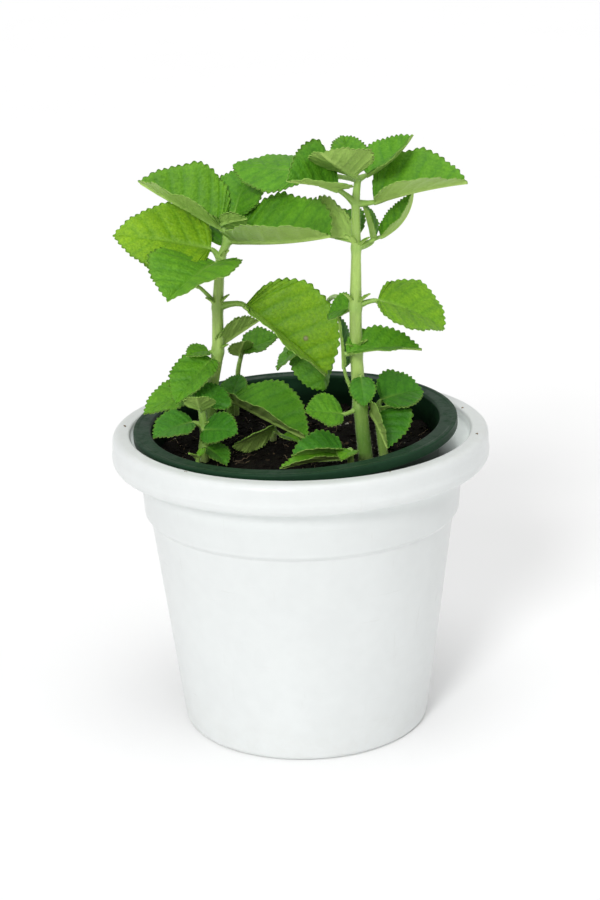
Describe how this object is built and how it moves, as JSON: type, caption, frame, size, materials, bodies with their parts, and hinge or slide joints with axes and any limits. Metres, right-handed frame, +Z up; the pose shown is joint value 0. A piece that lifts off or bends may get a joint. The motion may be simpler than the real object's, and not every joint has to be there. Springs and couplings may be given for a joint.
{
  "type": "potted herb plant",
  "caption": "Bushy cuban oregano with broad scalloped leaves on upright fleshy stems, in a dark nursery pot that leans inside a wide-lipped white planter.",
  "frame": {"origin": "on the axis of the white planter, at the level of the surface it stands on", "axes": "+Z up, -Y towards the front, +X to the right as seen from the front"},
  "size_m": [0.25, 0.25, 0.3991],
  "materials": {
    "white_plastic": "satin moulded",
    "green_plastic": "satin moulded",
    "soil": "loose damp crumbs",
    "leaf_green": "softly hairy, matte"
  },
  "bodies": {
    "root": {"outer_planter": "white_plastic", "nursery_pot": "green_plastic", "potting_soil": "soil", "left_main_shoot": "leaf_green", "right_main_shoot": "leaf_green", "left_front_shoot": "leaf_green", "middle_shoot": "leaf_green", "back_shoot": "leaf_green", "centre_shoot": "leaf_green", "front_right_shoot": "leaf_green", "right_low_shoot": "leaf_green", "sprout": "leaf_green"}
  },
  "joints": []
}
